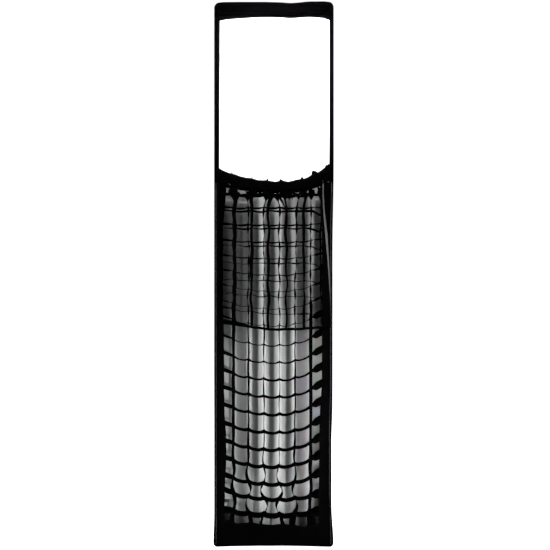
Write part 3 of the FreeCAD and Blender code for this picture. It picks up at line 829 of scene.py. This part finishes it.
def flap_place(x, z):
    """Where a point of the ideal flap has settled: pushed to the right and a little wider."""
    x, z = np.broadcast_arrays(np.asarray(x, float), np.asarray(z, float))
    last = UPRIGHT_X[-1]
    pushed = np.interp(x, (-0.03, UPRIGHT_X[3], UPRIGHT_X[4], last), (0, 0.0035, 0.007, 0.0075))
    inner = x * 1.055 + 0.0078 + pushed + 0.0012 * wander(x, 0.0, z, 0.13, 41)
    end = last * 1.055 + 0.0151
    past_last = np.clip((x - last) / (BAND_X - last), 0, 1)
    right = end + (np.maximum(flap_band_x(z), end + 0.006) - end) * past_last
    left_share = np.clip((-last - x) / (BAND_X - last), 0, 1)
    left = -last * 1.055 + 0.0076 - left_share * (0.1655 - last * 1.055 + 0.0076)
    place_x = np.where(x > last, right, np.where(x < -last, left, inner))
    droop = smooth(-0.10, -0.155, z)
    hang = 0.020 * np.clip(-x / 0.16, 0, 1) ** 1.3 * smooth(0.02, -0.155, z)
    hang = hang + 0.004 * np.clip(x / 0.16, 0, 1) ** 2 * droop
    across = (-0.13, -0.08, -0.02, 0.0, 0.05, 0.10)
    hang = hang - droop * np.interp(x, across, (-0.005, -0.002, 0.0000, 0.0002, -0.001, -0.0035))
    level = 0.0040 + 0.0085 * smooth(-0.02, -0.12, z) * (1 - droop) - 0.0045 * droop
    gathered = smooth(0.226, FOLD_START, z) * (fold_base(x) - FOLD_START - 0.003)
    pulled = -0.0125 * np.clip(1 - np.abs(x - last) / 0.024, 0, 1) ** 1.2 * smooth(-0.12, -0.02, z)
    pulled = pulled * (1 - smooth(0.19, 0.24, z))
    kinks = 0.0030 * wander(x * 1.6, 0.0, z * 1.3, 0.05, 43) + 0.0016 * wander(x, 0.0, z * 2, 0.022, 44)
    place_z = z + hang + level + gathered + pulled + kinks
    return place_x, place_z


def cell_share(x):
    """The share of the way from one upright to the next."""
    return (np.asarray(x) - UPRIGHT_X[0]) / PITCH


def upright_strip(place, index, low, mid_y, swing, twist, slack):
    """One long strip: its line snakes between the rows, which hold it, and it turns a little about itself."""
    z = np.linspace(low, FOLD_START, int((FOLD_START - low) / 0.0042))
    x = np.full_like(z, UPRIGHT_X[index])
    rows = (ROWS_HIGH[2] - z) / ROW_PITCH
    px, pz = place(x, z)
    wave = np.sin(math.pi * rows)
    px = px + SIGNS[index] * swing(z) * wave
    px = px + slack * np.abs(wave) * wander(x, 0.0, np.round(rows - 0.5) * 0.7, 0.31, 51 + index)
    angle = twist(x, z)
    depth = np.linspace(-0.5, 0.5, 6) * GRID_DEEP
    points = np.zeros((len(z), len(depth), 3))
    points[..., 0] = px[:, None] + depth * np.sin(angle)[:, None]
    points[..., 1] = mid_y + depth * np.cos(angle)[:, None]
    points[..., 2] = pz[:, None]
    return points


def across_strip(px, pz, mid_y, depth, angle):
    """A strip that runs across, turned about its own line by an angle at each point."""
    points = np.zeros((len(px), len(depth), 3))
    points[..., 0] = px[:, None]
    points[..., 1] = mid_y + depth * np.cos(angle)[:, None]
    points[..., 2] = pz[:, None] + depth * np.sin(angle)[:, None]
    return points


def row_strip(place, height, mid_y, scallop, twist):
    """One cross strip: it dips a little in each cell and turns about itself towards its ends."""
    x = np.linspace(-BAND_IN, BAND_IN, 240)
    z = np.full_like(x, height)
    px, pz = place(x, z)
    share = cell_share(x)
    dip = (1 - np.abs(2 * (share % 1) - 1) ** 2.6) * (share > 0) * (share < UPRIGHTS - 1)
    depth = np.linspace(-0.5, 0.5, 6) * GRID_DEEP
    points = across_strip(px, pz, mid_y, depth, twist(x, z))
    points[..., 2] -= (scallop * dip)[:, None] * (1.0 + 0.5 * depth / GRID_DEEP)
    return points


def lower_swing(z):
    """How far the lower uprights swing aside between two rows: most near the foot and at the fold."""
    swing = 0.0009 + 0.0008 * smooth(-0.2, -0.1, z) + 0.0092 * smooth(-0.50, -0.665, z)
    return swing + 0.0045 * smooth(0.185, 0.235, z)


def lower_twist(x, z):
    outer = np.abs(x) / UPRIGHT_X[-1]
    foot = smooth(-0.700, -0.728, z) * (0.22 + 0.45 * np.clip(x / 0.115, 0, 1))
    bunched = 0.75 * smooth(0.212, 0.236, z) * np.where(wander(x * 9, 0.0, 0.0, 0.2, 62) > 0, 1, -1)
    turned = 0.07 + 0.14 * outer ** 3 * smooth(-0.05, -0.20, z) + foot
    between = 0.07 * np.sin(2 * math.pi * (ROWS_HIGH[2] - z) / ROW_PITCH) * smooth(-0.2, -0.1, z)
    return bunched - np.sign(x) * (turned + between) + 0.13 * wander(x * 7, 0.0, z, 0.11, 61)


def row_twist(x, z):
    """The row's right end opens like a lens where it is sewn to the border, the left end less."""
    shown = smooth(-0.10, -0.16, z)
    right = 0.62 * smooth(0.117, 0.134, x) * (0.25 + 0.75 * shown)
    left = (-0.12 + 0.20 * shown) * smooth(-0.112, -0.138, x)
    low = 0.08 * smooth(-0.15, -0.35, z) + 0.13 * smooth(-0.66, -0.71, z)
    return right + left + low + 0.05 * wander(x, 0.0, z * 5, 0.06, 63)


def flap_swing(z):
    return 0.0020 + 0.0040 * smooth(0.185, 0.235, z)


def flap_twist(x, z):
    bunched = 0.65 * smooth(0.212, 0.236, z)
    return 0.22 + bunched + 0.15 * wander(x * 5, 0.0, z, 0.09, 65)


def flap_row_twist(x, z):
    near_fold = 0.35 * smooth(0.20, 0.25, z)
    return near_fold * wander(x, 0.0, z, 0.04, 67) + 0.10 * wander(x, 0.0, z * 4, 0.045, 69)


def strips(name, body, slot, sheets, node, material=GRID_CLOTH, thick=STRIP_THICK):
    piece = surfaces(name, sheets, material)
    thicken(piece, thick)
    belongs(piece, body, slot, node)


def make_grid(word, body, place, mid_y, foot, swing, slack, twists, heights, scallop):
    """One half of the grid: its uprights in one piece and its cross strips in another."""
    upright_twist, cross_twist = twists
    uprights = [upright_strip(place, i, foot, mid_y, swing, upright_twist, slack) for i in range(UPRIGHTS)]
    strips(f"{word}_upright_strips", body, "grid_cloth", uprights, f"{word}_uprights")
    rows = [row_strip(place, z, mid_y, scallop(z), cross_twist) for z in heights[1:]]
    strips(f"{word}_row_strips", body, "grid_cloth", rows, f"{word}_rows")


def make_grids():
    make_grid("grid", "softbox", lower_place, LOWER_MID, GRID_LOW[2] + 0.001, lower_swing, 0.0012,
              (lower_twist, row_twist), LOWER_ROW_Z, lambda z: 0.0034 + 0.0020 * smooth(-0.05, -0.2, z))
    make_grid("flap", "grid_flap", flap_place, FLAP_MID, FLAP_FOOT + 0.001, flap_swing, 0.0034,
              (flap_twist, flap_row_twist), FLAP_ROW_Z, lambda z: 0.0028)


def bent_strip(x_lower, x_flap, across, top_extra, turn=0.0):
    """A strip that bends over the fold; across gives its depth shares from inner to outer edge."""
    angles = np.linspace(0, math.pi, 40)
    share = angles / math.pi
    depth = across * GRID_DEEP
    points = np.zeros((len(angles), len(depth), 3))
    x = x_lower + (x_flap - x_lower) * smooth(0, 1, share)
    reach = FOLD_REACH + depth
    lift = fold_tall(x)[:, None] / (FOLD_REACH + GRID_DEEP / 2)
    turned = 0.0085 * np.sin(angles)[:, None] ** 4 * np.clip(across, 0, 1)
    points[..., 0] = x[:, None] + 0.0020 * np.sin(3 * angles)[:, None] + turned * turn
    points[..., 1] = FOLD_Y + reach[None, :] * np.cos(angles)[:, None]
    spike = top_extra * np.sin(angles)[:, None] ** 8 * np.clip(across + 0.5, 0, 1) ** 3
    points[..., 2] = fold_base(x)[:, None] + reach[None, :] * np.sin(angles)[:, None] * lift + spike
    return points


def fold_row(angle, seed, unrest, shallow):
    """A cross strip caught in the bend, turned so that its face shows."""
    x = np.linspace(-BAND_IN, BAND_IN, 190)
    inner = shallow * (0.20 + 0.20 * wander(x, 0.0, 0.0, 0.018, seed + 2))
    depth = (0.5 - (1 - inner[:, None]) * np.linspace(1, 0, 6)[None, :]) * GRID_DEEP
    turn = angle + unrest * wander(x, 0.0, 0.0, 0.035, seed)
    reach = FOLD_REACH + depth
    lift = fold_tall(x)[:, None] / (FOLD_REACH + GRID_DEEP / 2)
    dip = 0.0022 * np.sin(math.pi * cell_share(x)) ** 2
    points = np.zeros((*depth.shape, 3))
    points[..., 0] = x[:, None]
    points[..., 1] = FOLD_Y + reach * np.cos(turn)[:, None]
    points[..., 2] = fold_base(x)[:, None] + reach * np.sin(turn)[:, None] * lift - dip[:, None]
    points[..., 2] += 0.0012 * wander(x, 0.0, 0.0, 0.012, seed + 1)[:, None]
    return points


def make_fold():
    """The bunched strips over the fold, bending from the lower grid to the flap."""
    depth = np.linspace(-0.5, 0.5, 7)
    sheets = []
    uprights = zip(UPRIGHT_X, [0.0044] * UPRIGHTS, FOLD_TURNS)
    for x, top_extra, turn in (*uprights, (-BAND_X, 0.001, 0.0), (BAND_X, 0.001, 0.0)):
        lower_x, _ = lower_place(x, FOLD_START)
        flap_x, _ = flap_place(x, FOLD_START)
        sheets.append(bent_strip(float(lower_x), float(flap_x), depth, top_extra, turn))
    for row in FOLD_ROWS:
        sheets.append(fold_row(*row))
    piece = surfaces("grid_fold", sheets, GRID_CLOTH)
    thicken(piece, STRIP_THICK, even=False)
    return piece


def border_line(side, low, place, twist):
    """Heights along a border, its settled line and how far it turns."""
    z = np.linspace(low, FOLD_START, int((FOLD_START - low) / 0.006))
    px, pz = place(np.full_like(z, side * BAND_X), z)
    return z, px, pz, twist(z) if twist else np.zeros_like(z)


def side_band(side, low, flange_of, place, mid_y, twist=None):
    """A border strip with its flange: across it runs from the flange's edge to the wall's rear edge."""
    z, px, pz, angle = border_line(side, low, place, twist)
    front = mid_y - GRID_DEEP / 2
    flange = flange_of(z) + 0.0012 * wander(0.0, 0.0, z, 0.05, 81 + side)
    ripple = 0.0012 * wander(1.0, 0.0, z, 0.045, 83 + side)
    columns = []
    depths = np.linspace(-0.47, 0.5, 6) * GRID_DEEP
    edge = px + depths[0] * np.sin(angle)
    for share in (1.0, 0.97, 0.9, 0.5, 0.12, 0.03):
        hem = 0.0007 if share > 0.89 else 0.0
        columns.append(np.stack([edge - side * flange * share, front - hem + ripple * share, pz], 1))
    for d in depths:
        columns.append(np.stack([px + d * np.sin(angle), mid_y + d * np.cos(angle), pz], 1))
    return np.stack(columns, 1)


def make_bands():
    """The borders that hold the strips' ends, and the wide band across the foot."""
    foot = GRID_LOW[2] - 0.001
    plain = BAND_X - FLANGE_IN
    left_heights = (-0.69, -0.63, -0.55, -0.50, -0.44, -0.38, -0.20, -0.14, 0.13, 0.24)
    left_extra = (-0.004, -0.002, 0.001, 0, -0.0045, -0.0055, -0.0065, -0.0092, -0.0092, 0)
    right_heights, right_extra = (-0.72, -0.6, -0.45, -0.36), (0.0045, 0.001, 0, -0.004)
    lower = [
        side_band(-1, foot, lambda z: plain + np.interp(z, left_heights, left_extra), lower_place, LOWER_MID),
        side_band(1, foot, lambda z: plain + np.interp(z, right_heights, right_extra),
                  lower_place, LOWER_MID),
    ]
    strips("grid_side_borders", "softbox", "black_nylon", lower, "grid_side_bands", SHADED_BLACK_NYLON)
    flap_heights, flap_flange = (-0.16, -0.03, 0.005, 0.06, 0.15), (0.0235, 0.021, 0.0145, 0.009, 0.006)
    flap = [
        side_band(-1, FLAP_FOOT, lambda z: np.full_like(z, 0.008), flap_place, FLAP_MID),
        side_band(1, FLAP_FOOT, lambda z: np.interp(z, flap_heights, flap_flange), flap_place, FLAP_MID,
                  flap_border_twist),
    ]
    strips("flap_side_borders", "grid_flap", "black_nylon", flap, "flap_side_bands", SHADED_BLACK_NYLON)
    make_foot_band()
    make_flap_edge()
    make_grid_tapes()


def flap_border_twist(z):
    """The right border turns its taped face forward for part of its length, where the tape's painted sheen
    shows as a grey streak.
    """
    heights = (-0.16, -0.10, -0.03, 0.04, 0.11, 0.18, 0.28, 0.30)
    return np.interp(z, heights, (0, 0.06, 0.15, 0.25, 0.36, 0.24, 0.18, 0.1))


def make_foot_band():
    """The wide band across the grid's foot, with an uneven top edge."""
    low, high = span("grid_bottom_band")
    x = np.linspace(low[0], high[0], 130)
    top = high[2] + 0.0035 * np.sin(math.pi * cell_share(x)) * wander(x, 0.0, 0.0, 0.05, 91)
    across = (-0.142, -0.125, -0.112, -0.085, -0.072, -0.04, 0.0, 0.03, 0.06, 0.09, 0.11, 0.15)
    extra = (0.011, 0.013, 0.004, 0.004, 0.008, 0.001, -0.001, 0.002, -0.001, -0.007, 0.001, 0.004)
    top = top + np.interp(x, across, extra)
    columns = []
    for share in np.linspace(0, 1, 14):
        z = top + (low[2] - top) * share
        hem = 0.0008 if share < 0.12 else 0.0
        y = low[1] - hem + 0.0016 * wander(x, 0.0, z, 0.05, 93) * math.sin(math.pi * share)
        columns.append(np.stack([x + lean(x, z), y + 0 * x, z], 1))
    for depth in np.linspace(0.06, 1.0, 6):
        z = np.full_like(x, low[2])
        columns.append(np.stack([x + lean(x, z), low[1] + depth * GRID_DEEP + 0 * x, z], 1))
    band = surface("grid_foot_band", settled(np.stack(columns, 1)), SHADED_BLACK_NYLON)
    thicken(band, 0.0016)
    belongs(band, "softbox", "black_nylon", "grid_bottom_band")


def make_flap_edge():
    """The flap's free end: a band across all the strips, turned so that its face shows."""
    x = np.linspace(-BAND_X, BAND_X, 150)
    z = np.full_like(x, FLAP_FOOT + 0.001)
    px, pz = flap_place(x, z)
    depth = np.linspace(-0.5, 0.5, 8) * GRID_DEEP
    angle = -0.26 - 0.25 * smooth(-0.05, -0.15, x) + 0.06 * wander(x, 0.0, 0.0, 0.09, 95)
    edge = surface("flap_edge_cloth", across_strip(px, pz, FLAP_MID, depth, angle), SHADED_BLACK_NYLON)
    thicken(edge, 0.0026)
    belongs(edge, "grid_flap", "black_nylon", "flap_edge_band")


def tape_on_band(side, low, place, mid_y, twist=None, lift=0.0014):
    """Hook tape along the outer face of a border."""
    _, px, pz, angle = border_line(side, low, place, twist)
    columns = []
    for d in np.linspace(-0.42, 0.42, 6) * GRID_DEEP:
        x = px + d * np.sin(angle) + side * lift * np.cos(angle)
        y = mid_y + d * np.cos(angle) - lift * np.sin(angle)
        columns.append(np.stack([x, y, pz], 1))
    return np.stack(columns, 1)


def make_grid_tapes():
    lower = [tape_on_band(side, GRID_LOW[2], lower_place, LOWER_MID) for side in (-1, 1)]
    flap = [tape_on_band(side, FLAP_FOOT, flap_place, FLAP_MID, twist)
            for side, twist in ((-1, None), (1, flap_border_twist))]
    strips("grid_hook_strips", "softbox", "hook_tape", lower, "grid_hook_tape", HOOK_TAPE_PAINTED_SHEEN, 0.0009)
    strips("flap_hook_strips", "grid_flap", "hook_tape", flap, "flap_hook_tape", HOOK_TAPE_PAINTED_SHEEN, 0.0009)


# ---- neck: collar, lock boss and closure flaps ----


def make_collar():
    """The gathered cloth from the shell's neck in to the hub, with a ribbed elastic edge."""
    count = 4 * 60
    angles = np.linspace(0, 2 * math.pi, count, endpoint=False)
    cos, sin = np.cos(angles), np.sin(angles)
    square = NECK_HALF / np.maximum(np.abs(cos), np.abs(sin))
    outer = np.minimum(square, NECK_HALF * 1.30)
    steps = np.linspace(0, 1, 12)
    points = np.zeros((len(steps), count, 3))
    pleats = 0.5 + 0.5 * np.sin(angles * 64 + 1.5 * np.sin(angles * 7))
    for i, t in enumerate(steps):
        radius = (HUB_R + 0.0012) + (outer - 0.0006 - HUB_R - 0.0012) * t
        lift = 0.0042 * math.sin(math.pi * t) * (0.55 + 0.45 * pleats) + 0.0012 * pleats * (1 - t)
        points[i, :, 0] = radius * cos
        points[i, :, 2] = radius * sin
        points[i, :, 1] = COLLAR_LOW[1] + 0.0004 + lift
    collar = surface("collar_cloth", points, WALL_CLOTH, round_columns=True)
    thicken(collar, 0.0012)
    belongs(collar, "softbox", "elastic", "neck_collar")
    edge_r = HUB_R + 0.0032
    ring = np.stack([edge_r * cos, np.full(count, COLLAR_HIGH[1] + 0.0012), edge_r * sin], 1)
    edge = tube("collar_elastic", ring, 0.0026 + 0.0006 * pleats, ELASTIC, 10, True, 0.8)
    belongs(edge, "softbox", "elastic")


def lathe(name, profile, centre, material, sides=48):
    """A ring turned about X: profile is a closed loop of (x, radius)."""
    angles = np.linspace(0, 2 * math.pi, sides, endpoint=False)
    points = np.zeros((len(profile), sides, 3))
    for k, (x, radius) in enumerate(profile):
        points[k, :, 0] = x
        points[k, :, 1] = centre[1] + radius * np.cos(angles)
        points[k, :, 2] = centre[2] + radius * np.sin(angles)
    return surface(name, points, material, round_rows=True, round_columns=True)


def make_lock_boss():
    """The threaded boss on the hub that carries the lock screw through the cloth."""
    low, high = span("lock_screw")
    centre = (low + high) / 2
    bore = (high[2] - low[2]) / 2 + 0.00015
    start, end = HUB_R - 0.0005, NECK_HALF + 0.0042
    profile = [(start, bore), (end - 0.0006, bore), (end, bore + 0.0006), (end, bore + 0.0030),
               (end - 0.0008, bore + 0.0036), (start + 0.0060, bore + 0.0040),
               (start + 0.0052, bore + 0.0052), (start, bore + 0.0054)]
    belongs(lathe("lock_boss", profile, centre, BLACK_PLASTIC), "softbox", "black_plastic")


TAPE_START, TAPE_END = 0.0440, 0.0660  # where the closures' tape lies, from their hinges


def flap_frame(side):
    """The closure's lie: hinge and free edges as (x, y), and its outward direction."""
    low, high = span("neck_flap_right")
    hinge = np.array([high[0] - 0.0008, low[1]])
    free = np.array([low[0] + 0.0008, high[1]])
    along = (free - hinge) / np.linalg.norm(free - hinge)
    out = np.array([-along[1], along[0]])
    out *= np.sign(out[0])
    half = high[2]
    return hinge * [side, 1], along * [side, 1], out * [side, 1], np.linalg.norm(free - hinge), half


def on_flap(side, run, z, lift):
    hinge, along, out, _, _ = flap_frame(side)
    run, z, lift = np.broadcast_arrays(run, z, lift)
    x = hinge[0] + along[0] * run + out[0] * lift
    y = hinge[1] + along[1] * run + out[1] * lift
    return np.stack([x, y, z], -1)


def under_flap(name, side, low_z, high_z, more, below, material, thick):
    """A strip of tape along the closure's free edge, a little below the cloth."""
    run = np.linspace(TAPE_START - more, TAPE_END + more, 12)
    u, v = np.meshgrid(run, np.linspace(low_z - more, high_z + more, 60))
    return thicken(surface(name, on_flap(side, u, v, -below), material), thick)


def make_closure(side, word):
    """A sewn flap over the side vent: rounded free corners, a turned hem, and hook tape beneath."""
    _, _, out, long, half = flap_frame(side)
    u, v = np.meshgrid(np.linspace(0, 1, 36), np.linspace(-1, 1, 70))
    corner = 0.014
    narrow = np.clip((u * long - (long - corner)) / corner, 0, 1)
    z = v * (half - corner * (1 - np.sqrt(np.clip(1 - narrow ** 2, 0, 1))))
    edge = np.minimum(np.minimum((1 - u) * long, (1 - np.abs(v)) * half), 0.02)
    hem = 0.0005 * (1 - smooth(0.0055, 0.0070, edge))
    soft = 0.0006 * wander(u * long, 0.0, z, 0.03, 101 + side) * smooth(0, 0.2, u)
    points = on_flap(side, u * long, z, 0.0004 + hem + soft + 0.0008 * smooth(0.75, 1, u))
    cloth = surface(f"closure_cloth_{word}", points, WALL_CLOTH)
    thicken(cloth, 0.0013)
    belongs(cloth, f"closure_{word}", "black_nylon", f"neck_flap_{word}")
    paths = []
    facing = np.array([out[0], out[1], 0.0])
    for inset in (0.0030, 0.0058):
        run = np.r_[np.linspace(0.004, long - corner, 20), np.full(30, long - inset),
                    np.linspace(long - corner, 0.004, 20)]
        across = np.r_[np.full(20, -(half - inset)), np.linspace(-(half - corner), half - corner, 30),
                       np.full(20, half - inset)]
        line = on_flap(side, run, across, 0.0018)
        paths.append((line, np.tile(facing, (len(line), 1))))
    belongs(stitches(f"closure_stitching_{word}", paths), f"closure_{word}", "black_webbing")
    low, high = span(f"neck_tape_{word}")
    hooks = under_flap(f"closure_hooks_{word}", side, low[2], high[2], 0.0, 0.0010, HOOK_TAPE_PAINTED_SHEEN, 0.0008)
    belongs(hooks, f"closure_{word}", "hook_tape", f"neck_tape_{word}")
    loops = under_flap(f"closure_loops_{word}", side, low[2], high[2], 0.0020, 0.0026, SOFT_LOOPS, 0.0010)
    belongs(loops, "softbox", "loop_tape")


def make_neck():
    make_collar()
    make_lock_boss()
    for side, word in ((1, "right"), (-1, "left")):
        make_closure(side, word)


# ---- inner baffle ----


def make_baffle():
    """The inner white cloth and its hem, held to the walls by short elastic straps."""
    low, high = span("inner_baffle")
    wide, tall = high[0] - low[0], high[2] - low[2]
    y_mid = (low[1] + high[1]) / 2
    u, v = np.meshgrid(np.linspace(-1, 1, 44), np.linspace(-1, 1, 180))
    x, z = u * wide / 2, v * tall / 2
    slack = (1 - u ** 4) * (1 - v ** 8)
    y = y_mid - slack * (0.0022 * wander(x * 1.5, 0.0, z * 0.5, 0.09, 111))
    cloth = surface("inner_baffle_cloth", np.stack([x, y, z], -1), BAFFLE_CLOTH)
    thicken(cloth, 0.0006)
    belongs(cloth, "softbox", "white_diffusion", "inner_baffle")
    low, high = span("baffle_hem")
    section = ((0.0, 0.0006), (0.0, -0.0006), (0.0004, -0.0009), (0.0115, -0.0009),
               (0.0120, -0.0006), (0.0120, 0.0006), (0.0115, 0.0009), (0.0004, 0.0009))
    profile = [(inward, y_mid + lift) for inward, lift in section]
    places, normals = round_box(high[0], high[2], 0.004)
    hem = surface("baffle_hem_cloth", swept(places, normals, profile), BAFFLE_CLOTH, True, True)
    belongs(hem, "softbox", "white_diffusion", "baffle_hem")
    make_straps(y_mid)


def make_straps(y_mid):
    wall_x, _, top = span("baffle_straps")[1]
    hem_x = span("baffle_hem")[1][0]
    width = 0.012
    sheets = []
    for side in (-1, 1):
        for height in (-top + width / 2, -0.18, 0.18, top - width / 2):
            u, v = np.meshgrid(np.linspace(0, 1, 20), np.linspace(-0.5, 0.5, 5))
            x = side * (hem_x - 0.006 + (wall_x - hem_x + 0.006) * u)
            y = y_mid + 0.0008 * np.sin(u * 40) * (1 - np.abs(v))
            sheets.append(np.stack([x, y, height + v * width], -1))
    piece = surfaces("baffle_elastic", sheets, ELASTIC)
    thicken(piece, 0.0010)
    belongs(piece, "softbox", "elastic", "baffle_straps")


# ---- finishes of the CAD parts that show as they are ----

CAD_FINISH = (
    (POWDER, ("bayonet_barrel", "bayonet_plate", "hub_ring")),
    (ZINC, ("retaining_tabs", "rod_sockets")),
    (SCREW_STEEL, ("tab_screws", "socket_set_screws", "baffle_snaps", "lock_screw")),
    (ROD_STEEL, ("rod_top_right", "rod_top_left", "rod_bottom_right", "rod_bottom_left")),
    (BLACK_PLASTIC, ("rod_tip_caps", "lock_knob")),
    (BINDING, ("corner_pockets",)),
    (WHITE_PLASTIC, ("lock_pad",)),
)


def finish_cad_parts():
    for material, nodes in CAD_FINISH:
        for node in nodes:
            for slot in bpy.data.objects[node].material_slots:
                slot.material = material


# ---- everything ----

make_camera()
make_studio()
make_rim()
make_diffuser()
make_shell()
make_neck()
make_baffle()
finish_cad_parts()
make_grids()
make_bands()
fold = make_fold()
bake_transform(fold)
